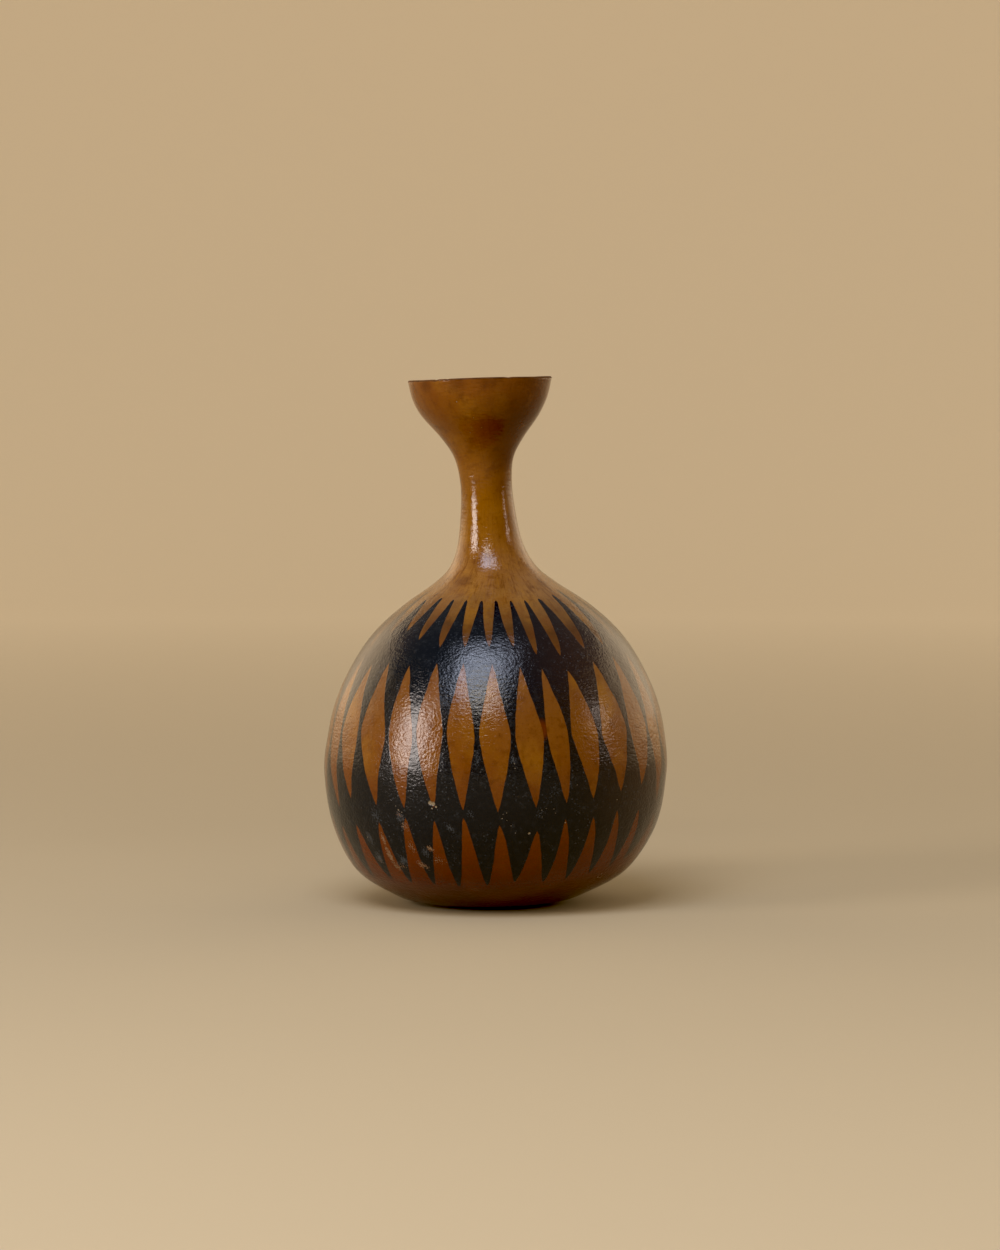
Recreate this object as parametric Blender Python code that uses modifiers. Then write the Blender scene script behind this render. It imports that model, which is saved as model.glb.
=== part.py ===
# A dried bottle gourd, hollow and open: a round belly, a narrow neck and a cup-shaped upper bulb
# that is cut across its widest part, which leaves the mouth. It is one shell with no other piece.
# Metres, +Z up. The gourd stands on the flattened spot of its base, and the origin is the bottom
# centre of its box. -Y is the front, and +X is the side that the mouth's rim rises to.

import math

import bmesh
import bpy
from mathutils import Vector

MM = 0.001

# The grown outline, from the edge of the flat base up to the rim, in millimetres. Each station
# holds the height, the radius there, and how far the middle of that ring leans to +X.
OUTLINE = (
    (0.0, 36.0, -6.0),
    (1.8, 46.5, -5.7),
    (6.3, 60.4, -4.9),
    (22.0, 85.8, -2.5),
    (50.0, 101.8, -0.6),
    (82.0, 107.8, 0.0),
    (104.0, 106.5, 0.5),
    (128.0, 101.0, 0.8),
    (152.0, 90.0, 1.0),
    (172.0, 76.0, 1.1),
    (188.0, 58.3, 1.2),
    (201.5, 38.6, 0.3),
    (212.0, 27.0, -1.4),
    (228.0, 20.0, -3.4),
    (252.0, 16.7, -5.1),
    (268.0, 16.5, -6.3),
    (281.0, 19.0, -7.5),
    (293.0, 26.0, -8.7),
    (306.0, 36.2, -9.8),
    (317.0, 41.8, -10.0),
    (329.0, 44.8, -10.0),
)

# How much of the outline is a hand's cut: the rim is higher on +X than on -X, and it waves.
RIM_RISE = 1.2 * MM
RIM_WAVE = 0.35 * MM
RIM_WAVES = 3
CUT_STARTS = 290.0 * MM

# The grown walls are not quite round: the belly is a little shallower from front to back than it
# is wide, and five faint lobes run up it. Both fade out into the neck and the base.
DEPTH_TO_WIDTH = 0.985
LOBES = 5
LOBE_HEIGHT = 0.45 * MM
BELLY_MIDDLE = 85.0 * MM
BELLY_REACH = 110.0 * MM

WALL = 4.0 * MM
RING_SPACING = 11.0 * MM
SEGMENTS = 40
MERGE_DISTANCE = 0.01 * MM
SHARP_ANGLE = math.radians(40)

SKIN_COLOUR = (0.23, 0.10, 0.025, 1.0)
SKIN_ROUGHNESS = 0.3


def clear_scene():
    for item in list(bpy.data.objects):
        bpy.data.objects.remove(item)


def make_collection(name):
    collection = bpy.data.collections.new(name)
    bpy.context.scene.collection.children.link(collection)
    return collection


def make_material(name, colour, roughness):
    material = bpy.data.materials.new(name)
    material.use_nodes = True
    shader = material.node_tree.nodes["Principled BSDF"]
    shader.inputs["Base Color"].default_value = colour
    shader.inputs["Roughness"].default_value = roughness
    shader.inputs["Metallic"].default_value = 0.0
    return material


def smooth_step(value):
    held = min(max(value, 0.0), 1.0)
    return held * held * (3.0 - 2.0 * held)


def curve_through(stations, spacing):
    """Points on a smooth curve through all the stations, no further apart than the spacing."""
    points = [Vector(station) * MM for station in stations]
    before = 2 * points[0] - points[1]
    after = 2 * points[-1] - points[-2]
    held = [before] + points + [after]
    found = []
    for index in range(1, len(held) - 2):
        earlier, start, end, later = held[index - 1:index + 3]
        steps = math.ceil((end - start).length / spacing)
        for step in range(steps):
            part = step / steps
            found.append(0.5 * (
                2 * start
                + (end - earlier) * part
                + (2 * earlier - 5 * start + 4 * end - later) * part ** 2
                + (3 * start - earlier - 3 * end + later) * part ** 3
            ))
    return found + [points[-1]]


def lean_at(height, rings):
    """The sideways lean of the gourd's middle at one height, read between the nearest two rings."""
    for low, high in zip(rings, rings[1:]):
        if height <= high[0]:
            part = (height - low[0]) / (high[0] - low[0])
            return low[2] + part * (high[2] - low[2])
    return rings[-1][2]


def turn_profile(name, rings, collection):
    """The outer skin as a turned surface, open at the rim and closed at the base."""
    outline = bmesh.new()
    run = [outline.verts.new((ring[1], 0.0, ring[0])) for ring in reversed(rings)]
    run.append(outline.verts.new((0.0, 0.0, rings[0][0])))
    for upper, lower in zip(run, run[1:]):
        outline.edges.new((upper, lower))
    mesh = bpy.data.meshes.new(name + "_profile")
    outline.to_mesh(mesh)
    outline.free()
    profile = bpy.data.objects.new(name + "_profile", mesh)
    collection.objects.link(profile)

    screw = profile.modifiers.new("turn", "SCREW")
    screw.steps = SEGMENTS
    screw.render_steps = SEGMENTS
    screw.use_merge_vertices = True
    screw.merge_threshold = MERGE_DISTANCE

    graph = bpy.context.evaluated_depsgraph_get()
    turned = bpy.data.meshes.new_from_object(profile.evaluated_get(graph))
    bpy.data.objects.remove(profile)
    shell = bpy.data.objects.new(name, turned)
    collection.objects.link(shell)
    return shell


def grow_shape(mesh, rings):
    """Gives the turned surface its lean, its oval section, its lobes and its hand-cut rim."""
    rim_height = rings[-1][0]
    for vertex in mesh.vertices:
        x, y, height = vertex.co
        angle = math.atan2(y, x)
        belly = smooth_step(1.0 - abs(height - BELLY_MIDDLE) / BELLY_REACH)
        swell = LOBE_HEIGHT * belly * math.cos(LOBES * angle + math.pi / 2)
        depth = 1.0 - (1.0 - DEPTH_TO_WIDTH) * belly
        cut = smooth_step((height - CUT_STARTS) / (rim_height - CUT_STARTS))
        rise = RIM_RISE * math.cos(angle) + RIM_WAVE * math.sin(RIM_WAVES * angle)
        vertex.co = (
            x + swell * math.cos(angle) + lean_at(height, rings),
            y * depth + swell * math.sin(angle),
            height + rise * cut,
        )


def stand_on_origin(mesh):
    """Moves the mesh so that the bottom centre of its box is at the origin."""
    corners = [vertex.co.copy() for vertex in mesh.vertices]
    middle_x = (min(c.x for c in corners) + max(c.x for c in corners)) / 2
    middle_y = (min(c.y for c in corners) + max(c.y for c in corners)) / 2
    lowest = min(c.z for c in corners)
    for vertex in mesh.vertices:
        vertex.co -= Vector((middle_x, middle_y, lowest))


def make_gourd_shell(collection):
    rings = curve_through(OUTLINE, RING_SPACING)
    shell = turn_profile("gourd_shell", rings, collection)
    grow_shape(shell.data, rings)
    stand_on_origin(shell.data)

    wall = shell.modifiers.new("wall", "SOLIDIFY")
    wall.thickness = WALL
    wall.offset = -1.0
    wall.use_even_offset = True

    shell.data.materials.append(make_material("dried_gourd_skin", SKIN_COLOUR, SKIN_ROUGHNESS))
    shell.data.shade_smooth()
    shell.data.set_sharp_from_angle(angle=SHARP_ANGLE)
    return shell


def main():
    clear_scene()
    collection = make_collection("bottle_gourd")
    make_gourd_shell(collection)


main()
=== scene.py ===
import math
import random

import bmesh
import bpy
from mathutils import Matrix, Vector, noise


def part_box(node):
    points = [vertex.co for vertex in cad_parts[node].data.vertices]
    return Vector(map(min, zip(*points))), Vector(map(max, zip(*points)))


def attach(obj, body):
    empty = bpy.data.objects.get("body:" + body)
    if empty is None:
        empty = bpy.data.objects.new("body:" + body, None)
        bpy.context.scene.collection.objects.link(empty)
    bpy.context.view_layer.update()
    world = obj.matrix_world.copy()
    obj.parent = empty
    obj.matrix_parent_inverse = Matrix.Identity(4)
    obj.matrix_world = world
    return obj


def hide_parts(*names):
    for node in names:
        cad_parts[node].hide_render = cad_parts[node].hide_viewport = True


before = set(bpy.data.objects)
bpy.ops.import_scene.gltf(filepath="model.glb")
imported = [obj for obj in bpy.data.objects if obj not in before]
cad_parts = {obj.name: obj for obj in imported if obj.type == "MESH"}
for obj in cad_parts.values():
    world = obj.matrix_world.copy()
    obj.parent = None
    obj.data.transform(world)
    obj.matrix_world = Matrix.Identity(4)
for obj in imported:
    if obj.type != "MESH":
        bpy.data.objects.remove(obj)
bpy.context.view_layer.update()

# A dried bottle gourd turned into an open vessel, with a lozenge band painted round its belly.
# Metres, +Z up. -Y is the front, and +X is the side that the mouth's rim rises to.

mm = 0.001


def smoothStep(value):
    held = min(max(value, 0.0), 1.0)
    return held * held * (3.0 - 2.0 * held)


def degreesFromFront(point):
    return math.degrees(math.atan2(point.x, -point.y))


# The painted band

band = {
    "columns": 31,          # black columns round the belly, with a lozenge between each two
    "skewPerMm": -0.05,     # how far the columns turn with height, in degrees a mm
    "waistHeight": 113.0,
    "handError": (1.1, 1.8),     # spread of the corners round the back: degrees, mm
    # The painter's corners on the front half. Each row: its usual height, the column that its first
    # corner belongs to (a half is a lozenge's middle), then degrees from the front and height in mm.
    "rows": {
        "blackFeet": (21, 11, ((-46, 22), (-35.5, 21), (-24.5, 21), (-13.5, 20), (-1.5, 21), (9.5, 24),
                               (21.5, 23), (31.5, 24), (42, 27), (53, 29), (60, 33))),
        "lowerOchreTips": (60, 9.5, ((-66.5, 52), (-55.5, 55), (-43, 58), (-31.5, 63), (-20.5, 61),
                                     (-10.5, 64), (1.5, 59), (14.5, 55), (24, 62), (35, 62), (45, 65),
                                     (57, 64))),
        "lozengeFeet": (68, 10.5, ((-56.5, 71), (-43.5, 69), (-31.5, 68), (-20.5, 69), (-10.5, 68),
                                   (1, 67), (13.5, 70), (24, 72), (34, 74), (46, 77), (56.5, 80))),
        "waists": (113, 10, ((-65.5, 111), (-53.5, 114), (-39.5, 111), (-28.5, 113), (-17.5, 115),
                             (-6.5, 113), (5.5, 113), (16.5, 113), (25, 114), (37, 112), (50.5, 116),
                             (62.5, 114))),
        "lozengeTips": (155, 10.5, ((-59.5, 153), (-48.5, 155), (-37, 154), (-24.5, 156), (-13.5, 156),
                                    (-2, 156), (9, 154), (17.5, 153), (28.5, 151), (42, 156),
                                    (55.5, 158), (68.5, 160))),
        "upperOchreTips": (166, 10.5, ((-60.5, 172), (-48.5, 174), (-38, 169), (-25.5, 165), (-14, 166),
                                       (-3.5, 166), (7, 166), (16.5, 161), (27, 160), (40.5, 164),
                                       (53.5, 165))),
        "spikeTips": (194, 12, ((-43, 194), (-31.5, 193), (-21.5, 193), (-10.5, 193), (-1, 193),
                                (9, 193), (19, 193), (30, 194), (46, 196))),
    },
    # Half the width of a black column, as a share of a column, at each usual height in mm. Below 0
    # there is none, and over 0.5 it joins its neighbours.
    "blackWidth": ((0, -0.1), (19, -0.1), (20.5, 0.04), (24, 0.11), (30, 0.19), (38, 0.27), (49, 0.36),
                   (57, 0.44), (60, 0.5), (62, 0.6), (66, 0.6), (68, 0.5), (73, 0.42), (80, 0.345),
                   (92, 0.225), (104, 0.12), (109, 0.085), (113, 0.07), (117, 0.08), (124, 0.125),
                   (132, 0.2), (140, 0.295), (149, 0.39), (155, 0.5), (157, 0.6), (164, 0.6),
                   (166, 0.5), (168, 0.435), (171, 0.375), (176, 0.31), (184, 0.21), (193, 0.1),
                   (194.5, -0.1), (220, -0.1)),
    "curveTop": 220.0,       # where the width's curve ends, in mm
    "edgeWander": 0.06,      # how far a brushed edge strays, in columns
    "edgeFray": 0.022,
    "heightWander": 2.0,     # and how far the corners stray up and down, in mm
    "edgeSoftness": 0.012,   # half the width of an edge's blur, in columns
}


def usualDegrees(column, height):
    turn = (column - band["columns"] / 2) * 360.0 / band["columns"]
    return turn + band["skewPerMm"] * (height - band["waistHeight"])


def layOutRows():
    # for each row: its height, its half-column offset, and how far each corner strays
    draw = random.Random(7)
    laidOut = []
    for height, first, corners in band["rows"].values():
        offset = first % 1
        strays = []
        for number in range(band["columns"]):
            strays.append((draw.gauss(0, band["handError"][0]), draw.gauss(0, band["handError"][1])))
        for step, (degrees, cornerHeight) in enumerate(corners):
            column = first + step
            strays[int(column)] = (degrees - usualDegrees(column, height), cornerHeight - height)
        laidOut.append((height, offset, strays))
    return laidOut


def strayInRow(row, column):
    height, offset, strays = row
    place = column - offset
    before = math.floor(place)
    part = place - before
    left = strays[before % len(strays)]
    right = strays[(before + 1) % len(strays)]
    return (left[0] + part * (right[0] - left[0]), left[1] + part * (right[1] - left[1]))


def strayAt(laidOut, column, height):
    if height <= laidOut[0][0]:
        return strayInRow(laidOut[0], column)
    for low, high in zip(laidOut, laidOut[1:]):
        if height <= high[0]:
            part = (height - low[0]) / (high[0] - low[0])
            below = strayInRow(low, column)
            above = strayInRow(high, column)
            return (below[0] + part * (above[0] - below[0]), below[1] + part * (above[1] - below[1]))
    return strayInRow(laidOut[-1], column)


def bandPlace(laidOut, degrees, height):
    # which column and which usual height the painter's hand put at this spot of the skin
    usual, turn = height, 0.0
    for attempt in range(10):
        skew = band["skewPerMm"] * (usual - band["waistHeight"])
        column = (degrees - turn - skew) * band["columns"] / 360.0 + band["columns"] / 2
        turn, lift = strayAt(laidOut, column, usual)
        usual = height - lift
    return column, usual


# The gourd's shell

gourd = {
    # height, radius and lean to +X of the grown outline, in mm, as the solid has them
    "outline": (
        (0.0, 36.0, -6.0), (1.8, 46.5, -5.7), (6.3, 60.4, -4.9), (22.0, 85.8, -2.5),
        (50.0, 101.8, -0.6), (82.0, 107.8, 0.0), (104.0, 106.5, 0.5), (128.0, 101.0, 0.8),
        (152.0, 90.0, 1.0), (172.0, 76.0, 1.1), (188.0, 58.3, 1.2), (201.5, 38.6, 0.3),
        (212.0, 27.0, -1.4), (228.0, 20.0, -3.4), (252.0, 16.7, -5.1), (268.0, 16.5, -6.3),
        (281.0, 19.0, -7.5), (293.0, 26.2, -8.6), (306.0, 36.5, -9.6), (317.0, 42.2, -9.8),
        (329.0, 45.2, -9.8),
    ),
    "baseRings": (0.0, 3.0, 6.0, 9.0, 12.0, 18.0, 26.0),     # radii of the rings under the base
    "floorRings": (24.0, 12.0, 0.0),                         # and of those on the floor inside
    "ringSpacing": 2.4,
    "innerRingSpacing": 5.0,
    "segments": 256,
    "wall": 4.0,
    "rimRounding": 1.1,
    "rimHeadroom": 0.6,       # how far the rounded rim stands over the outline's end
    "rimRise": 1.4,           # how much higher the cut is on +X than in the middle
    "rimWave": 0.2,
    "rimWaves": 3,
    "cutStarts": 290.0,
    "depthToWidth": 0.985,
    "lobes": 5,
    "lobeHeight": 0.45,
    "bellyMiddle": 85.0,      # where the lobes and the oval section are strongest
    "bellyReach": 110.0,      # and how far up and down they go
    # natural unevenness: how deep in mm, and how far apart
    "lumps": ((0.55, 62.0), (0.16, 19.0)),
    "scar": {"radius": 9.0, "depth": 0.8},     # where the blossom was, under the base
    # nicks in the cut rim: degrees from the front, width and depth in mm
    "nicks": ((-38, 5.0, 0.5), (-27, 3.0, 0.3), (24, 7.0, 0.35), (71, 3.0, 0.5), (133, 6.0, 0.6),
              (-150, 4.0, 0.5), (-101, 5.0, 0.4)),
}


def curveThrough(stations, spacing):
    # points on a smooth curve through all the stations, no further apart than the spacing
    points = [Vector(station) for station in stations]
    held = [2 * points[0] - points[1]] + points + [2 * points[-1] - points[-2]]
    found = []
    for index in range(1, len(held) - 2):
        earlier, start, end, later = held[index - 1:index + 3]
        steps = math.ceil((end - start).length / spacing)
        for step in range(steps):
            part = step / steps
            found.append(0.5 * (
                2 * start
                + (end - earlier) * part
                + (2 * earlier - 5 * start + 4 * end - later) * part ** 2
                + (3 * start - earlier - 3 * end + later) * part ** 3
            ))
    return found + [points[-1]]


def leanAt(height, rings):
    for low, high in zip(rings, rings[1:]):
        if height <= high[0]:
            part = max(0.0, (height - low[0]) / (high[0] - low[0]))
            return low[2] + part * (high[2] - low[2])
    return rings[-1][2]


def innerLine(rings, wall):
    # the outline set in by the wall's thickness, square to the skin, from the rim down
    line = []
    for index, (height, radius, lean) in enumerate(rings):
        before = rings[max(index - 1, 0)]
        after = rings[min(index + 1, len(rings) - 1)]
        alongHeight, alongRadius = after[0] - before[0], after[1] - before[1]
        length = math.hypot(alongHeight, alongRadius)
        inward = (-alongHeight / length, alongRadius / length)     # radius, height
        line.append((radius + wall * inward[0], max(height + wall * inward[1], wall)))
    return [(radius, height) for radius, height in reversed(line) if radius > 1.0]


def shellProfile():
    # radius and height in mm, from the middle of the base up the skin, over the rim and down inside
    outer = curveThrough(gourd["outline"], gourd["ringSpacing"])
    inner = innerLine(curveThrough(gourd["outline"], gourd["innerRingSpacing"]), gourd["wall"])
    rounding = gourd["rimRounding"]
    rimHeight, rimRadius = outer[-1][0], outer[-1][1]
    rimTop = rimHeight + gourd["rimHeadroom"]
    run = [(radius, 0.0) for radius in gourd["baseRings"]]
    run += [(radius, height) for height, radius, lean in outer if height < rimHeight - rounding - 0.4]
    for step in range(5):
        turn = math.radians(90 * step / 4)
        run.append((rimRadius - rounding * (1 - math.cos(turn)) - 0.1,
                    rimTop - rounding * (1 - math.sin(turn))))
    innerRadius = rimRadius - gourd["wall"]
    for step in range(5):
        turn = math.radians(90 * step / 4)
        run.append((innerRadius + rounding * (1 - math.sin(turn)),
                    rimTop - rounding * (1 - math.cos(turn))))
    run += [(radius, height) for radius, height in inner if height < rimHeight - rounding - 1.5]
    run += [(radius, gourd["wall"]) for radius in gourd["floorRings"]]
    return run, outer


def turnShell(run):
    shell = bmesh.new()
    points = [shell.verts.new((0.0, radius * mm, height * mm)) for radius, height in run]
    edges = [shell.edges.new(pair) for pair in zip(points, points[1:])]
    bmesh.ops.spin(shell, geom=points + edges, cent=(0, 0, 0), axis=(0, 0, 1), dvec=(0, 0, 0),
                   angle=math.radians(360), steps=gourd["segments"], use_merge=True,
                   use_normal_flip=False, use_duplicate=False)
    bmesh.ops.remove_doubles(shell, verts=shell.verts, dist=0.02 * mm)     # closes the two poles
    bmesh.ops.recalc_face_normals(shell, faces=shell.faces)
    return shell


def skinDegrees(vertex, face):
    # degrees from the front, kept on the same side of the back seam as the face
    middle = degreesFromFront(face.calc_center_median())
    if math.hypot(vertex.co.x, vertex.co.y) < 0.1 * mm:
        return middle
    degrees = degreesFromFront(vertex.co)
    if degrees - middle > 180:
        degrees -= 360
    if degrees - middle < -180:
        degrees += 360
    return degrees


def mapBand(shell):
    # bandMap: X counts the painted columns, Y is the painter's usual height in mm
    laidOut = layOutRows()
    bandMap = shell.loops.layers.uv.new("bandMap")
    known = {}
    for face in shell.faces:
        for loop in face.loops:
            degrees = round(skinDegrees(loop.vert, face), 3)
            key = (loop.vert.index, degrees)
            if key not in known:
                known[key] = bandPlace(laidOut, degrees, loop.vert.co.z / mm)
            loop[bandMap].uv = known[key]


def nickDepth(degrees):
    depth = 0.0
    for middle, width, deep in gourd["nicks"]:
        away = abs(degrees - middle) * math.radians(1) * 44.0 / (width / 2)
        depth = max(depth, deep * smoothStep(1.0 - away))
    return depth


def growShape(shell, outer):
    # the lean, the oval and lobed section, the lumps, the hand-cut rim and the blossom scar
    rimHeight = outer[-1][0]
    for vertex in shell.verts:
        x, y, height = vertex.co / mm
        radius = math.hypot(x, y)
        angle = math.atan2(y, x)
        belly = smoothStep(1.0 - abs(height - gourd["bellyMiddle"]) / gourd["bellyReach"])
        swell = gourd["lobeHeight"] * belly * math.cos(gourd["lobes"] * angle + math.pi / 2)
        depth = 1.0 - (1.0 - gourd["depthToWidth"]) * belly
        cut = smoothStep((height - gourd["cutStarts"]) / (rimHeight - gourd["cutStarts"]))
        rise = gourd["rimRise"] * math.cos(angle) + gourd["rimWave"] * math.sin(gourd["rimWaves"] * angle)
        if height > rimHeight - gourd["rimHeadroom"]:
            rise -= nickDepth(degreesFromFront(vertex.co))
        skinward = 0.0
        for deep, apart in gourd["lumps"]:
            spot = Vector((x, y, height)) / apart
            skinward += deep * (noise.noise(spot) - 0.1)
        skinward *= smoothStep(height / 12.0) * (0.35 + 0.65 * smoothStep((radius - 10.0) / 60.0))
        scar = 0.0
        if height < 0.5 and radius < gourd["scar"]["radius"]:
            scar = gourd["scar"]["depth"] * smoothStep(1.0 - radius / gourd["scar"]["radius"])
        vertex.co = (
            mm * (x + (swell + skinward) * math.cos(angle) + leanAt(height, outer)),
            mm * (y * depth + (swell + skinward) * math.sin(angle)),
            mm * (height + rise * cut + scar),
        )


def centreOnCad(shell):
    # the solid's box decides where the middle is, and the shell keeps inside it
    low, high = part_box("gourd_shell")
    lowest = min(vertex.co.z for vertex in shell.verts)
    left = min(vertex.co.x for vertex in shell.verts)
    right = max(vertex.co.x for vertex in shell.verts)
    front = min(vertex.co.y for vertex in shell.verts)
    back = max(vertex.co.y for vertex in shell.verts)
    shift = Vector(((low.x + high.x - left - right) / 2, (low.y + high.y - front - back) / 2,
                    low.z - lowest))
    bmesh.ops.translate(shell, verts=shell.verts, vec=shift)


def nameZones(shell, run):
    # material 0 is the waxed skin, 1 the cut rim, 2 the pithy inside; set before the shape is grown
    rimHeight = max(height for radius, height in run) * mm
    for face in shell.faces:
        middle = face.calc_center_median()
        radius = math.hypot(middle.x, middle.y)
        face.smooth = True
        if middle.z > rimHeight - 1.0 * mm:
            face.material_index = 1
        elif face.normal.x * middle.x + face.normal.y * middle.y < -0.05 * radius:
            face.material_index = 2
        elif face.normal.z > 0.5 and middle.z < 30 * mm:
            face.material_index = 2


def makeGourdShell():
    run, outer = shellProfile()
    shell = turnShell(run)
    shell.verts.index_update()
    shell.normal_update()
    nameZones(shell, run)
    mapBand(shell)
    growShape(shell, outer)
    centreOnCad(shell)
    shell.normal_update()
    mesh = bpy.data.meshes.new("gourdShell")
    shell.to_mesh(mesh)
    shell.free()
    piece = bpy.data.objects.new("gourdShell", mesh)
    bpy.context.scene.collection.objects.link(piece)
    return piece


# Materials

def linearColour(hexText):
    parts = [int(hexText[index:index + 2], 16) / 255.0 for index in (0, 2, 4)]
    return tuple(p / 12.92 if p <= 0.04045 else ((p + 0.055) / 1.055) ** 2.4 for p in parts) + (1.0,)


def addNode(tree, kind, settings=None, inputs=None):
    # one node: its settings by name, and its inputs as plain values or as sockets to link from
    node = tree.nodes.new(kind)
    for name, value in (settings or {}).items():
        setattr(node, name, value)
    for name, value in (inputs or {}).items():
        socket = node.inputs[name]
        if isinstance(value, bpy.types.NodeSocket):
            tree.links.new(value, socket)
        else:
            socket.default_value = value
    return node


def newMaterial(name):
    material = bpy.data.materials.new(name)
    material.use_nodes = True
    tree = material.node_tree
    return material, tree, tree.nodes["Principled BSDF"]


waxedRind = {
    # ochre of the skin by height in mm, from the base to the rim: darker and redder towards the base,
    # partly the rind's own colour and partly painted shade under the belly
    "ochreAndShade": ((0, "381004"), (20, "471806"), (45, "582609"), (75, "60330f"), (113, "6c4218"),
                (150, "68421d"), (175, "482e15"), (197, "7e5a2f"), (208, "845d30"), (222, "784f1c"),
                (250, "744a11"), (285, "774a12"), (303, "74460f"), (331, "6c3d0c")),
    "oiledAndShade": "482208",        # where oil has drawn in, and the painted shade of the dark patches on the cup's right
    "golden": "8c6018",       # where the skin is thin and bright
    "russet": "5e300f",
    # dark stains: degrees from the front, height, radius and strength. The four on the right of the cup and
    # neck are partly stains and partly painted shade
    "stainsAndShade": ((37, 304, 25, 0.95), (42, 325, 16, 0.8), (40, 283, 15, 0.85), (48, 262, 11, 0.6),
               (-30, 326, 5, 0.5), (-4, 328, 7, 0.5), (-57, 325, 4, 0.6), (-35, 204, 5, 0.5),
               (-29, 206, 4, 0.4), (9, 206, 12, 0.3), (-24, 214, 6, 0.35), (62, 240, 10, 0.4),
               (150, 300, 16, 0.6), (-120, 250, 14, 0.4), (170, 110, 22, 0.3)),
    "ink": "060d16",          # black band, burnt and rubbed with soot
    "inkBrown": "2e1e18",     # browner patches on the black
    "inkBrownPatches": ((52, 150, 45), (70, 95, 50), (-75, 165, 30), (170, 120, 60)),   # degrees, height, radius
    "inkGrey": "40464c",      # where it is rubbed
    "wornWaist": (15.5, 117, 5.5),       # where a column has worn back to red rind
    "wornInk": "55240f",
    "bareRind": "786b54",     # pale fibre under the skin
    "rubbedPale": "766048",   # where it shows through a rubbed skin
    "scuffed": "5f3a24",      # where it is rubbed pink, round the pale marks
    # chips down to the fibre: degrees from the front, height and radius in mm
    "chips": ((-22.2, 72.3, 1.27), (-21.2, 71.8, 1.27), (-20.2, 70, 0.59), (-21.6, 69, 0.51),
              (3.7, 67, 0.32), (2.5, 66.2, 0.24), (2.2, 63.5, 0.36), (3.9, 62.3, 0.24), (5.3, 59, 0.31),
              (6.9, 54.3, 0.26), (11.6, 54, 0.72), (15.6, 68.2, 0.29), (17.1, 69.3, 0.22), (15.8, 64, 0.21),
              (19.9, 68.8, 0.31), (20.5, 66, 0.26), (24.4, 60, 0.42), (28, 83, 0.26), (45, 72, 0.34),
              (6.2, 97, 0.38), (6.4, 94.2, 0.3), (49.5, 22, 0.59), (50.4, 24, 0.51), (-32, 315, 0.38),
              (-21.3, 305, 0.26), (-15.7, 299, 0.27), (-30.7, 296, 0.32), (-34.6, 67, 0.42),
              (-35.6, 69.3, 0.3), (-33.3, 65.6, 0.34), (-51.4, 47.8, 0.42), (-15.1, 103, 0.34),
              (-15.5, 100.4, 0.21)),
    # rubbed streaks: degrees, height, half-length and half-width in mm, tilt from level, strength (1 is
    # nearly solid, 0.4 a few flecks)
    "streaks": ((-43.3, 48, 9, 2.4, -80, 1.2), (-42.3, 38, 10, 3.0, -77, 1.6),
                (-40.6, 31, 7, 3.6, -66, 1.2), (-32.6, 57, 9, 6.5, -62, 0.55),
                (-31.2, 44, 12, 6, -80, 0.55), (-34.5, 64, 6, 4.5, -66, 0.5),
                (-28.4, 32.7, 10, 4, -36, 0.9), (-23.8, 43.5, 5, 3, -50, 1.2),
                (-21.3, 36.5, 11, 9, -60, 0.4), (-37.5, 31, 8, 6, -56, 0.4),
                (-48.5, 33, 7, 5, -70, 0.3), (52, 22, 6, 3, 20, 0.8),
                (140, 60, 18, 7, 50, 0.6), (-120, 45, 16, 6, -40, 0.8)),
    # the same for grey smudges on the black
    "smudges": ((-50.3, 47, 11, 6, -75, 0.8), (-48.5, 35, 9, 6, -75, 1.0), (-36.2, 34.5, 8, 6, -60, 1.1),
                (-26, 41, 9, 5, -75, 0.8), (-15.7, 57, 9, 4, -50, 0.8), (-8.5, 66, 8, 6, -80, 0.5),
                (-6, 100, 12, 4, 90, 0.8), (6, 99, 8, 5, 90, 0.8), (25, 83, 6, 4, 30, 0.8),
                (-34, 62, 9, 7, -60, 0.8), (-45, 62, 24, 12, -75, 0.45), (-18, 100, 18, 5, 88, 0.6),
                (15, 66, 10, 9, 10, 0.4), (20, 80, 18, 10, 70, 0.35), (110, 75, 20, 8, 70, 0.7)),
    "roughness": 0.105,
    "neckPolish": 0.04,       # how much smoother the handled neck is
    "ior": 1.5,
}


def onSkin(piece, degrees, height):
    # where that many degrees from the front and that height in mm lie on the outer skin
    turn = math.radians(degrees)
    outwards = Vector((math.sin(turn), -math.cos(turn), 0.0))
    start = Vector((0.0, 0.0, height * mm)) + 0.3 * outwards
    found, spot, normal, face = piece.ray_cast(start, -outwards)
    return spot, normal


def cloudMask(tree, place, size, low, high, most=1.0, stretch=(1, 1, 1)):
    # soft patches about so many mm across, from 0 up to the most
    fitted = addNode(tree, "ShaderNodeMapping", {}, {"Vector": place, "Scale": stretch})
    cloud = addNode(tree, "ShaderNodeTexNoise", {},
                    {"Vector": fitted.outputs[0], "Scale": 1000.0 / size, "Detail": 3.0, "Roughness": 0.55})
    return addNode(tree, "ShaderNodeMapRange", {"interpolation_type": "SMOOTHSTEP"},
                   {"Value": cloud.outputs["Fac"], "From Min": low, "From Max": high,
                    "To Max": most}).outputs[0]


def spotMask(tree, place, spot, radius, most=1.0, edge=0.6):
    # a round spot on the skin that fades over its edge
    away = addNode(tree, "ShaderNodeVectorMath", {"operation": "DISTANCE"}, {0: place, 1: spot})
    return addNode(tree, "ShaderNodeMapRange", {"interpolation_type": "SMOOTHSTEP"},
                   {"Value": away.outputs["Value"], "From Min": radius * mm * (1 + edge),
                    "From Max": radius * mm * (1 - edge), "To Max": most}).outputs[0]


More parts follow.
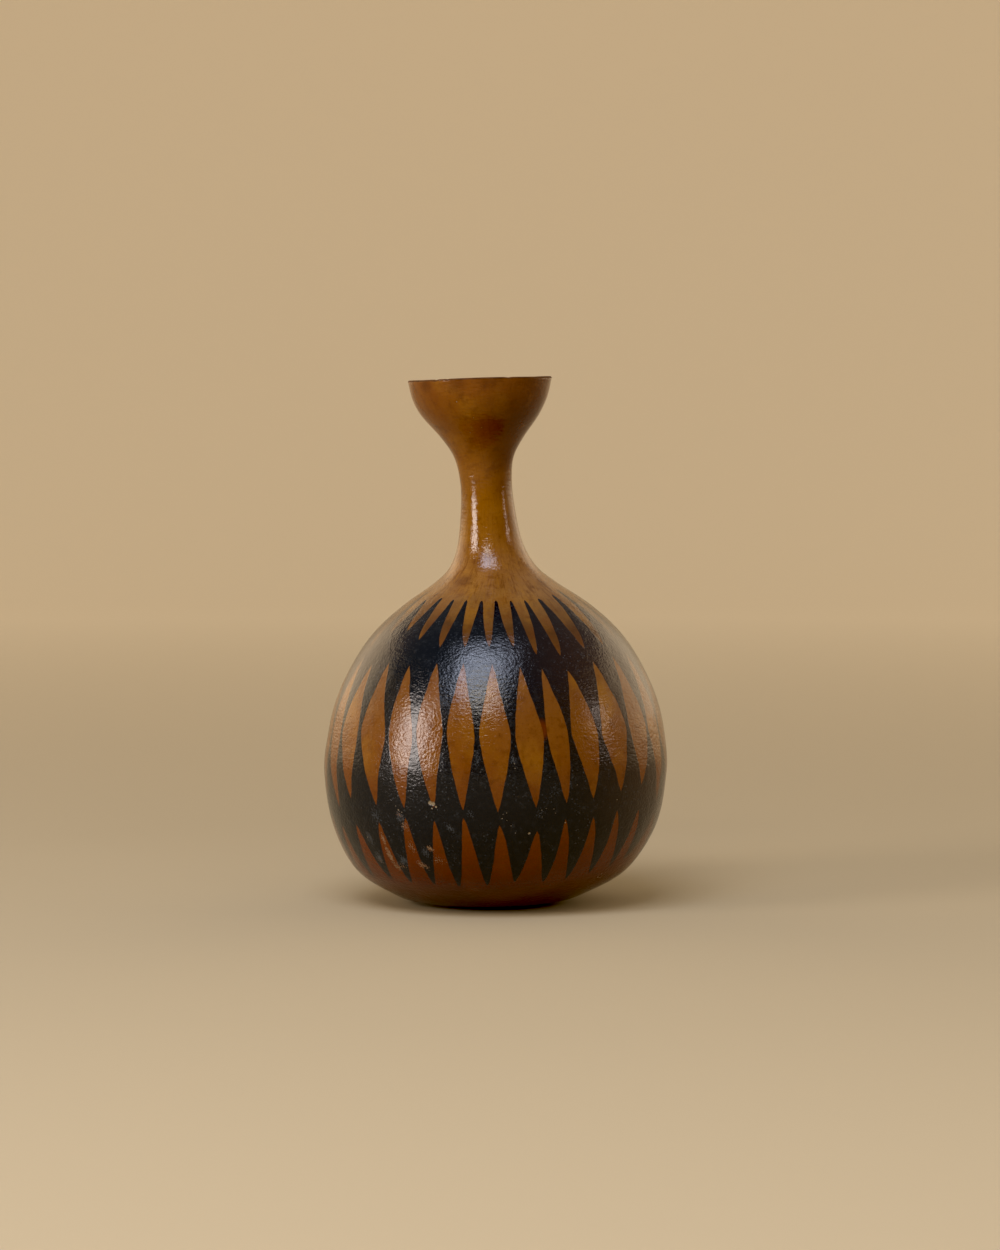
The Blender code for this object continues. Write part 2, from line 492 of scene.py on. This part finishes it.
def streakMask(tree, place, spot, normal, halfLength, halfWidth, tilt, most):
    # a long patch lying along the skin, solid at its heart and breaking up into flecks of about 1 mm
    level = Vector((-normal.y, normal.x, 0.0)).normalized()
    upSkin = normal.cross(level)
    along = math.cos(math.radians(tilt)) * level + math.sin(math.radians(tilt)) * upSkin
    across = normal.cross(along)
    turn = Matrix((along, across, normal)).transposed().to_euler()
    laid = addNode(tree, "ShaderNodeMapping", {"vector_type": "TEXTURE"},
                   {"Vector": place, "Location": spot, "Rotation": turn,
                    "Scale": (halfLength * mm, halfWidth * mm, 6 * mm)})
    away = addNode(tree, "ShaderNodeVectorMath", {"operation": "LENGTH"}, {0: laid.outputs[0]})
    # the patch is highest at its middle, and where it rises over the noise the skin is rubbed bare
    patch = addNode(tree, "ShaderNodeMapRange", {},
                    {"Value": away.outputs["Value"], "From Min": 1.25, "From Max": 0.0, "To Min": -3.3,
                     "To Max": 2.0 * most - 0.9})
    drawn = addNode(tree, "ShaderNodeMapping", {},
                    {"Vector": laid.outputs[0], "Scale": (halfLength / 1.5, halfWidth / 1.0, 1.0)})
    flecks = addNode(tree, "ShaderNodeTexNoise", {},
                     {"Vector": drawn.outputs[0], "Scale": 1.0, "Detail": 3.0, "Roughness": 0.7})
    bare = addNode(tree, "ShaderNodeMath", {"operation": "MULTIPLY_ADD"},
                   {0: flecks.outputs["Fac"], 1: -9.0, 2: patch.outputs[0]})
    return addNode(tree, "ShaderNodeMapRange", {"interpolation_type": "SMOOTHSTEP"},
                   {"Value": bare.outputs[0], "From Min": -4.9, "From Max": -4.1}).outputs[0]


def streaksOn(tree, place, piece, streaks):
    # the heaviest of many streaks at each place
    masks = []
    for degrees, height, halfLength, halfWidth, tilt, strength in streaks:
        spot, normal = onSkin(piece, degrees, height)
        masks.append(streakMask(tree, place, spot, normal, halfLength, halfWidth, tilt, strength))
    return heaviest(tree, masks)


def speckMask(tree, place, apart, size, most):
    # fine round specks, so many mm apart and across
    cells = addNode(tree, "ShaderNodeTexVoronoi", {}, {"Vector": place, "Scale": 1000.0 / apart})
    return addNode(tree, "ShaderNodeMapRange", {"interpolation_type": "SMOOTHSTEP"},
                   {"Value": cells.outputs["Distance"], "From Min": 0.7 * size / apart,
                    "From Max": 0.3 * size / apart, "To Max": most}).outputs[0]


def fibreMask(tree, place, low, high, most, curl):
    # fine streaks that run up the gourd, about 0.05 rad wide and 12 mm long
    flat = addNode(tree, "ShaderNodeVectorMath", {"operation": "MULTIPLY"}, {0: place, 1: (1, 1, 0)})
    around = addNode(tree, "ShaderNodeVectorMath", {"operation": "NORMALIZE"}, {0: flat.outputs[0]})
    upwards = addNode(tree, "ShaderNodeVectorMath", {"operation": "MULTIPLY"}, {0: place, 1: (0, 0, 4.2)})
    along = addNode(tree, "ShaderNodeVectorMath", {"operation": "ADD"},
                    {0: around.outputs[0], 1: upwards.outputs[0]})
    fibres = addNode(tree, "ShaderNodeTexNoise", {}, {"Vector": along.outputs[0], "Scale": 22.0,
                                                      "Detail": 3.0, "Distortion": curl})
    return addNode(tree, "ShaderNodeMapRange", {"interpolation_type": "SMOOTHSTEP"},
                   {"Value": fibres.outputs["Fac"], "From Min": low, "From Max": high,
                    "To Max": most}).outputs[0]


def both(tree, mask, other):
    # one mask only where the other lets it through
    return addNode(tree, "ShaderNodeMath", {"operation": "MULTIPLY"}, {0: mask, 1: other}).outputs[0]


def heightFade(tree, place, start, end):
    # 0 at the start and 1 at the end, both heights in mm
    placeXyz = addNode(tree, "ShaderNodeSeparateXYZ", {}, {0: place})
    return addNode(tree, "ShaderNodeMapRange", {"interpolation_type": "SMOOTHSTEP"},
                   {"Value": placeXyz.outputs[2], "From Min": start * mm, "From Max": end * mm}).outputs[0]


def heaviest(tree, masks):
    # the strongest of several masks at each place
    strongest = masks[0]
    for mask in masks[1:]:
        strongest = addNode(tree, "ShaderNodeMath", {"operation": "MAXIMUM"},
                            {0: strongest, 1: mask}).outputs[0]
    return strongest


def laidOver(tree, under, layers):
    # each layer's colour, a hex text, laid over what is under it by its mask
    for mask, hexText in layers:
        under = addNode(tree, "ShaderNodeMix", {"data_type": "RGBA"},
                        {"Factor": mask, "A": under, "B": linearColour(hexText)}).outputs["Result"]
    return under


def addUp(tree, parts):
    # the sum of (mask, mm) pairs, as a height in mm
    total = None
    for mask, depth in parts:
        inputs = {0: mask, 1: depth} if total is None else {0: mask, 1: depth, 2: total}
        operation = "MULTIPLY" if total is None else "MULTIPLY_ADD"
        total = addNode(tree, "ShaderNodeMath", {"operation": operation}, inputs).outputs[0]
    return total


def bandMask(tree, columnPlace, usualHeight):
    # 1 on the black columns: the distance to the nearest column against its half-width there
    share = addNode(tree, "ShaderNodeMath", {"operation": "DIVIDE"}, {0: usualHeight, 1: band["curveTop"]})
    curve = addNode(tree, "ShaderNodeFloatCurve", {}, {"Value": share.outputs[0]})
    points = curve.mapping.curves[0].points
    wanted = [(height / band["curveTop"], 0.2 + width) for height, width in band["blackWidth"]]
    points[0].location = wanted[0]
    points[1].location = wanted[-1]
    for place in wanted[1:-1]:
        points.new(*place)
    for point in points:
        point.handle_type = "VECTOR"
    curve.mapping.update()
    width = addNode(tree, "ShaderNodeMath", {"operation": "SUBTRACT"}, {0: curve.outputs[0], 1: 0.2})
    away = addNode(tree, "ShaderNodeMath", {"operation": "PINGPONG"}, {0: columnPlace, 1: 0.5})
    inside = addNode(tree, "ShaderNodeMath", {"operation": "SUBTRACT"},
                     {0: width.outputs[0], 1: away.outputs[0]})
    return addNode(tree, "ShaderNodeMapRange", {"interpolation_type": "SMOOTHSTEP"},
                   {"Value": inside.outputs[0], "From Min": -band["edgeSoftness"],
                    "From Max": band["edgeSoftness"]}).outputs[0]


def paintedBand(tree, place):
    # the black band with the brush's edge: a slow wander of about 0.4 mm every 12 mm, and a fine fray
    bandUv = addNode(tree, "ShaderNodeUVMap", {"uv_map": "bandMap"}).outputs["UV"]
    bandXyz = addNode(tree, "ShaderNodeSeparateXYZ", {}, {0: bandUv})
    wander = addNode(tree, "ShaderNodeTexNoise", {}, {"Vector": place, "Scale": 85.0, "Detail": 2.0})
    wanderXyz = addNode(tree, "ShaderNodeSeparateXYZ", {}, {0: wander.outputs["Color"]})
    fray = addNode(tree, "ShaderNodeTexNoise", {}, {"Vector": place, "Scale": 650.0, "Detail": 2.0})
    strayed = addNode(tree, "ShaderNodeMath", {"operation": "MULTIPLY_ADD"},
                      {0: wanderXyz.outputs[0], 1: band["edgeWander"], 2: bandXyz.outputs[0]})
    frayed = addNode(tree, "ShaderNodeMath", {"operation": "MULTIPLY_ADD"},
                     {0: fray.outputs["Fac"], 1: band["edgeFray"], 2: strayed.outputs[0]})
    columnPlace = addNode(tree, "ShaderNodeMath", {"operation": "SUBTRACT"},
                          {0: frayed.outputs[0], 1: (band["edgeWander"] + band["edgeFray"]) / 2})
    lifted = addNode(tree, "ShaderNodeMath", {"operation": "MULTIPLY_ADD"},
                     {0: wanderXyz.outputs[1], 1: band["heightWander"], 2: bandXyz.outputs[1]})
    usualHeight = addNode(tree, "ShaderNodeMath", {"operation": "SUBTRACT"},
                          {0: lifted.outputs[0], 1: band["heightWander"] / 2})
    return bandMask(tree, columnPlace.outputs[0], usualHeight.outputs[0])


# the skin's ochre by height, with painted shade darkening it towards the base
def ochreAndShadeByHeight(tree, place):
    placeXyz = addNode(tree, "ShaderNodeSeparateXYZ", {}, {0: place})
    drift = addNode(tree, "ShaderNodeTexNoise", {}, {"Vector": place, "Scale": 26.0, "Detail": 2.0})
    shifted = addNode(tree, "ShaderNodeMath", {"operation": "MULTIPLY_ADD"},
                      {0: drift.outputs["Fac"], 1: 26.0 * mm, 2: placeXyz.outputs[2]})
    share = addNode(tree, "ShaderNodeMapRange", {}, {"Value": shifted.outputs[0], "From Min": 13.0 * mm,
                                                    "From Max": 344.0 * mm})
    ramp = addNode(tree, "ShaderNodeValToRGB", {}, {"Fac": share.outputs[0]})
    stops = ramp.color_ramp.elements
    ochreAndShade = waxedRind["ochreAndShade"]
    stops[0].position, stops[0].color = 0.0, linearColour(ochreAndShade[0][1])
    stops[1].position, stops[1].color = 1.0, linearColour(ochreAndShade[-1][1])
    for height, hexText in ochreAndShade[1:-1]:
        stops.new(height / 331.0).color = linearColour(hexText)
    return ramp.outputs["Color"]


def makeWaxedRind(piece):
    # Dried calabash rind, scraped, painted and waxed by hand: a hard thin gloss over blotched ochre,
    # with the ripples of the rind breaking up every highlight
    material, tree, shader = newMaterial("waxed gourd rind")
    look = waxedRind
    place = addNode(tree, "ShaderNodeTexCoord").outputs["Object"]

    # dark patches: stains, and painted shade on the right of the cup and neck
    stainsAndShade = []
    for degrees, height, radius, strength in look["stainsAndShade"]:
        spot, normal = onSkin(piece, degrees, height)
        stainsAndShade.append(spotMask(tree, place, spot, radius, strength, 0.85))
    stainAndShadeMask = both(tree, heaviest(tree, stainsAndShade), cloudMask(tree, place, 8.0, 0.0, 0.45))
    shoulder = both(tree, heightFade(tree, place, 182, 196), heightFade(tree, place, 240, 214))
    # clouds of colour from 30 mm down to 1.6 mm, fibres up the skin, curlier ones on the shoulder, stains,
    # and painted shade on the cup's right
    skin = laidOver(tree, ochreAndShadeByHeight(tree, place), (
        (both(tree, cloudMask(tree, place, 30.0, 0.48, 0.72, 0.5), heightFade(tree, place, 50, 120)),
         look["golden"]),
        (cloudMask(tree, place, 19.0, 0.48, 0.7, 0.32), look["russet"]),
        (cloudMask(tree, place, 6.0, 0.5, 0.75, 0.45), look["oiledAndShade"]),
        (both(tree, fibreMask(tree, place, 0.5, 0.75, 0.22, 0.5), heightFade(tree, place, 20, 60)),
         look["oiledAndShade"]),
        (both(tree, fibreMask(tree, place, 0.52, 0.7, 0.5, 1.6), shoulder), look["oiledAndShade"]),
        (both(tree, fibreMask(tree, place, 0.46, 0.3, 0.45, 1.6), shoulder), look["golden"]),
        (cloudMask(tree, place, 1.6, 0.55, 0.75, 0.35), look["oiledAndShade"]),
        (stainAndShadeMask, look["oiledAndShade"]),
    ))

    brownPatches = []
    for degrees, height, radius in look["inkBrownPatches"]:
        spot, normal = onSkin(piece, degrees, height)
        brownPatches.append(spotMask(tree, place, spot, radius, 0.8, 0.9))
    rubbed = heaviest(tree, (cloudMask(tree, place, 1.5, 0.57, 0.7, 0.25),
                             speckMask(tree, place, 3.2, 0.8, 0.7)))
    rubbedWhere = cloudMask(tree, place, 24.0, 0.38, 0.58)
    smudged = both(tree, streaksOn(tree, place, piece, look["smudges"]),
                   cloudMask(tree, place, 2.0, 0.3, 0.6, 0.8))
    # the band: soot black, browner in patches, with grey dust and scuffs
    ink = laidOver(tree, addNode(tree, "ShaderNodeRGB").outputs[0], (
        (1.0, look["ink"]),
        (heaviest(tree, brownPatches), look["inkBrown"]),
        (cloudMask(tree, place, 3.2, 0.52, 0.8, 0.22), look["inkGrey"]),
        (both(tree, rubbed, rubbedWhere), look["inkGrey"]),
        (smudged, look["inkGrey"]),
    ))
    degrees, height, radius = look["wornWaist"]
    spot, normal = onSkin(piece, degrees, height)
    ink = laidOver(tree, ink, ((spotMask(tree, place, spot, radius, 0.9, 0.5), look["wornInk"]),))

    inkMask = paintedBand(tree, place)
    painted = addNode(tree, "ShaderNodeMix", {"data_type": "RGBA"},
                      {"Factor": inkMask, "A": skin, "B": ink}).outputs["Result"]

    # chips, with a ragged edge of about half a millimetre
    chips = []
    ragged = addNode(tree, "ShaderNodeTexNoise", {}, {"Vector": place, "Scale": 900.0, "Detail": 2.0})
    raggedPlace = addNode(tree, "ShaderNodeVectorMath", {"operation": "MULTIPLY_ADD"},
                          {0: ragged.outputs["Color"], 1: (0.9 * mm,) * 3, 2: place})
    chipPlace = addNode(tree, "ShaderNodeVectorMath", {"operation": "SUBTRACT"},
                        {0: raggedPlace.outputs[0], 1: (0.45 * mm,) * 3}).outputs[0]
    for degrees, height, radius in look["chips"]:
        spot, normal = onSkin(piece, degrees, height)
        chips.append(spotMask(tree, chipPlace, spot, radius, 1.0, 0.3))
    chipMask = heaviest(tree, chips)
    streakAll = streaksOn(tree, place, piece, look["streaks"])
    # pink round a rubbed streak, pale at its heart
    scuffed = addNode(tree, "ShaderNodeMapRange", {}, {"Value": streakAll, "From Max": 0.6, "To Max": 0.8})
    bared = addNode(tree, "ShaderNodeMapRange", {}, {"Value": streakAll, "From Min": 0.4, "To Max": 0.9})
    finished = laidOver(tree, painted, (
        (scuffed.outputs[0], look["scuffed"]),
        (both(tree, bared.outputs[0], cloudMask(tree, place, 2.5, 0.35, 0.55)), look["rubbedPale"]),
        (chipMask, look["bareRind"]),
    ))
    tree.links.new(finished, shader.inputs["Base Color"])

    # gloss: best on the neck, duller on the black and where it is rubbed
    neckXyz = addNode(tree, "ShaderNodeSeparateXYZ", {}, {0: place})
    neckward = addNode(tree, "ShaderNodeMapRange", {},
                       {"Value": neckXyz.outputs[2], "From Min": 0.17, "From Max": 0.23,
                        "To Min": look["roughness"], "To Max": look["roughness"] - look["neckPolish"]})
    duller = addUp(tree, ((inkMask, 0.02), (streakAll, 0.3), (chipMask, 0.4),
                          (cloudMask(tree, place, 9.0, 0.4, 0.7), 0.07)))
    gloss = addNode(tree, "ShaderNodeMath", {"operation": "ADD"}, {0: neckward.outputs[0], 1: duller})
    tree.links.new(gloss.outputs[0], shader.inputs["Roughness"])
    shader.inputs["IOR"].default_value = look["ior"]

    # relief in mm: level ripples 1.6 mm apart, pitting of 1.5 mm, shallow dents of 12 mm
    ripples = cloudMask(tree, place, 5.0, 0.2, 0.8, 1.0, (1, 1, 3.2))
    pits = both(tree, cloudMask(tree, place, 1.5, 0.3, 0.7), heightFade(tree, place, 290, 180))
    dents = cloudMask(tree, place, 12.0, 0.2, 0.8)
    relief = addUp(tree, ((ripples, 0.09), (pits, 0.06), (dents, 0.14), (streakAll, -0.1),
                          (chipMask, -0.35), (inkMask, 0.02)))
    bump = addNode(tree, "ShaderNodeBump", {}, {"Height": relief, "Distance": mm, "Strength": 1.0})
    tree.links.new(bump.outputs[0], shader.inputs["Normal"])
    return material


sawnRim = {
    "cut": "5a3818", "dark": "3c2009", "worn": "a98256",
    "wornSpots": ((-25, 329.5, 5.0), (160, 329.5, 6.0)),
    "roughness": 0.65,
    "specular": 0.2,
}


def makeSawnRim(piece):
    # The sawn and sanded edge of the rind: woody, with fine pores, handled dark and worn pale in places
    material, tree, shader = newMaterial("sawn gourd rim")
    place = addNode(tree, "ShaderNodeTexCoord").outputs["Object"]
    wornMasks = []
    for degrees, height, radius in sawnRim["wornSpots"]:
        spot, normal = onSkin(piece, degrees, height)
        wornMasks.append(spotMask(tree, place, spot, radius, 0.8, 0.5))
    cut = laidOver(tree, addNode(tree, "ShaderNodeRGB").outputs[0], (
        (1.0, sawnRim["cut"]),
        (cloudMask(tree, place, 6.0, 0.4, 0.7, 0.8), sawnRim["dark"]),
        (cloudMask(tree, place, 0.8, 0.55, 0.7, 0.7), sawnRim["dark"]),
        (heaviest(tree, wornMasks), sawnRim["worn"]),
    ))
    tree.links.new(cut, shader.inputs["Base Color"])
    shader.inputs["Roughness"].default_value = sawnRim["roughness"]
    shader.inputs["Specular IOR Level"].default_value = sawnRim["specular"]
    pores = addUp(tree, ((cloudMask(tree, place, 0.8, 0.3, 0.7), 0.12),
                         (cloudMask(tree, place, 4.0, 0.3, 0.7), 0.2)))
    bump = addNode(tree, "ShaderNodeBump", {}, {"Height": pores, "Distance": mm, "Strength": 1.0})
    tree.links.new(bump.outputs[0], shader.inputs["Normal"])
    return material


dryPith = {
    "pith": "9c7a50", "fibre": "7a5833", "pale": "b8996c", "stained": "5a3c20",
    "roughness": 0.85,
}


def makeDryPith():
    # The scraped inside: dull tan pith with the marks of the fibres that were pulled out, darker with use
    material, tree, shader = newMaterial("scraped gourd pith")
    place = addNode(tree, "ShaderNodeTexCoord").outputs["Object"]
    fibres = cloudMask(tree, place, 1.8, 0.35, 0.7, 0.9, (1, 1, 0.2))
    pith = laidOver(tree, addNode(tree, "ShaderNodeRGB").outputs[0], (
        (1.0, dryPith["pith"]),
        (cloudMask(tree, place, 16.0, 0.45, 0.7, 0.7), dryPith["pale"]),
        (fibres, dryPith["fibre"]),
        (cloudMask(tree, place, 26.0, 0.42, 0.75, 0.7), dryPith["stained"]),
    ))
    tree.links.new(pith, shader.inputs["Base Color"])
    shader.inputs["Roughness"].default_value = dryPith["roughness"]
    relief = addUp(tree, ((fibres, -0.35), (cloudMask(tree, place, 1.2, 0.3, 0.7), 0.18),
                          (cloudMask(tree, place, 9.0, 0.3, 0.7), 0.5)))
    bump = addNode(tree, "ShaderNodeBump", {}, {"Height": relief, "Distance": mm, "Strength": 1.0})
    tree.links.new(bump.outputs[0], shader.inputs["Normal"])
    return material


# Studio

studio = {
    "paper": "b2a488",
    "glowColour": "c8b498",
    "floorRadius": 3.6, "sweepRadius": 1.2, "wallHeight": 3.4,
    "lift": -0.2 * mm,
    "glow": (0.2, 0.38),     # how much the paper is lit beyond the lamps' reach, in front and behind
    "sideGlow": 6.0,         # and how many times more of that the walls behind give to the sides
    "world": ("cec4b8", 0.48),
    # a soft fill from the camera's side of the room, too wide to show in the gloss
    "roomFill": (14, 24, 3.0, 2.5, 2.0, 17.0, "fff3e4"),
    "black": 0.0112,         # light that sinks to black in the print
    # name: degrees from the front, elevation, distance, width, height, watts, colour
    "lights": {
        "leftWindow": (-60, 14, 3.0, 0.95, 1.35, 46.0, "fff2ea"),
        "skylightLeft": (-34, 50, 3.0, 0.65, 1.2, 16.0, "dfe8ff"),
        "skylightRight": (-9, 57, 3.0, 1.3, 1.1, 29.0, "dfe8ff"),
        "skylightSill": (-13, 38, 3.0, 1.0, 0.35, 14.0, "fff4e6"),
        "rightWindow": (77, 18, 3.0, 0.5, 0.55, 5.0, "ffe9dc"),
    },
    "camera": {"place": (0.00277, -2.457, 0.3106), "pitch": 86.837, "lens": 112.72},
}


def makeStudio():
    sweep = bmesh.new()
    radius, bend = studio["floorRadius"], studio["sweepRadius"]
    run = [(0.0, 0.0), (0.5, 0.0), (1.5, 0.0), (radius, 0.0)]
    for step in range(1, 13):
        turn = math.radians(90 * step / 12)
        run.append((radius + bend * math.sin(turn), bend * (1 - math.cos(turn))))
    run.append((radius + bend, studio["wallHeight"]))
    points = [sweep.verts.new((0.0, away, height + studio["lift"])) for away, height in run]
    edges = [sweep.edges.new(pair) for pair in zip(points, points[1:])]
    bmesh.ops.spin(sweep, geom=points + edges, cent=(0, 0, 0), axis=(0, 0, 1), dvec=(0, 0, 0),
                   angle=math.radians(360), steps=96, use_merge=True, use_normal_flip=False,
                   use_duplicate=False)
    bmesh.ops.remove_doubles(sweep, verts=sweep.verts, dist=0.1 * mm)
    for face in sweep.faces:
        face.smooth = True
        if face.normal.z < 0:
            face.normal_flip()
    mesh = bpy.data.meshes.new("studioPaper")
    sweep.to_mesh(mesh)
    sweep.free()
    paper = bpy.data.objects.new("studioPaper", mesh)
    bpy.context.scene.collection.objects.link(paper)
    material, tree, shader = newMaterial("plain studio paper")
    shader.inputs["Base Color"].default_value = linearColour(studio["paper"])
    shader.inputs["Roughness"].default_value = 0.9
    shader.inputs["Specular IOR Level"].default_value = 0.2
    shader.inputs["Emission Color"].default_value = linearColour(studio["glowColour"])
    # the paper's glow grows from 0.5 m to 3.4 m out, where the lamps don't reach
    spot = addNode(tree, "ShaderNodeTexCoord").outputs["Object"]
    away = addNode(tree, "ShaderNodeVectorMath", {"operation": "LENGTH"}, {0: spot})
    reach = addNode(tree, "ShaderNodeMapRange", {}, {"Value": away.outputs["Value"], "From Min": 0.5,
                                                    "From Max": 3.4})
    spotXyz = addNode(tree, "ShaderNodeSeparateXYZ", {}, {0: spot})
    behind = addNode(tree, "ShaderNodeMapRange", {},
                     {"Value": spotXyz.outputs[1], "From Min": -2.5, "From Max": 1.5,
                      "To Min": studio["glow"][0], "To Max": studio["glow"][1]})
    # the walls behind glow more to the sides, which gives the belly its pale edges
    aside = addNode(tree, "ShaderNodeMath", {"operation": "ABSOLUTE"}, {0: spotXyz.outputs[0]})
    wallward = addNode(tree, "ShaderNodeMapRange", {"interpolation_type": "SMOOTHSTEP"},
                       {"Value": spotXyz.outputs[2], "From Min": 0.1, "From Max": 0.6})
    backward = addNode(tree, "ShaderNodeMapRange", {"interpolation_type": "SMOOTHSTEP"},
                       {"Value": spotXyz.outputs[1], "From Min": -0.5, "From Max": 2.5})
    sides = addNode(tree, "ShaderNodeMapRange", {"interpolation_type": "SMOOTHSTEP"},
                    {"Value": aside.outputs[0], "From Min": 1.0, "From Max": 3.0,
                     "To Max": studio["sideGlow"]})
    more = addNode(tree, "ShaderNodeMath", {"operation": "MULTIPLY_ADD"},
                   {0: sides.outputs[0], 1: both(tree, wallward.outputs[0], backward.outputs[0]), 2: 1.0})
    glow = both(tree, both(tree, reach.outputs[0], behind.outputs[0]), more.outputs[0])
    tree.links.new(glow, shader.inputs["Emission Strength"])
    mesh.materials.append(material)

    world = bpy.data.worlds.new("studioAir")
    bpy.context.scene.world = world
    world.use_nodes = True
    air = world.node_tree.nodes["Background"]
    air.inputs["Color"].default_value = linearColour(studio["world"][0])
    air.inputs["Strength"].default_value = studio["world"][1]

    aim = Vector((0, 0, 0.14))
    lights = dict(studio["lights"], roomFill=studio["roomFill"])
    for name, (degrees, elevation, away, width, tall, watts, hexText) in lights.items():
        lamp = bpy.data.lights.new(name, "AREA")
        lamp.shape = "RECTANGLE"
        lamp.size, lamp.size_y = width, tall
        lamp.energy = watts
        lamp.color = linearColour(hexText)[:3]
        side, up = math.radians(degrees), math.radians(elevation)
        direction = Vector((math.cos(up) * math.sin(side), -math.cos(up) * math.cos(side), math.sin(up)))
        light = bpy.data.objects.new(name, lamp)
        light.location = aim + away * direction
        light.rotation_euler = direction.to_track_quat("Z", "Y").to_euler()
        light.visible_camera = False
        light.visible_glossy = name in studio["lights"]
        bpy.context.scene.collection.objects.link(light)

    lens = bpy.data.cameras.new("photoCamera")
    lens.lens = studio["camera"]["lens"]
    camera = bpy.data.objects.new("photoCamera", lens)
    camera.location = studio["camera"]["place"]
    camera.rotation_euler = (math.radians(studio["camera"]["pitch"]), 0, 0)
    bpy.context.scene.collection.objects.link(camera)
    bpy.context.scene.camera = camera
    bpy.context.scene.view_settings.view_transform = "Standard"
    bpy.context.scene.view_settings.use_curve_mapping = True
    bpy.context.scene.view_settings.curve_mapping.black_level = (studio["black"],) * 3


# Build

gourdPiece = makeGourdShell()
print("shell turned and grown:", len(gourdPiece.data.polygons), "faces")

for material in (makeWaxedRind(gourdPiece), makeSawnRim(gourdPiece), makeDryPith()):
    gourdPiece.data.materials.append(material)
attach(gourdPiece, "root")
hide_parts("gourd_shell")
print("finishes put on")

makeStudio()
print("studio set")
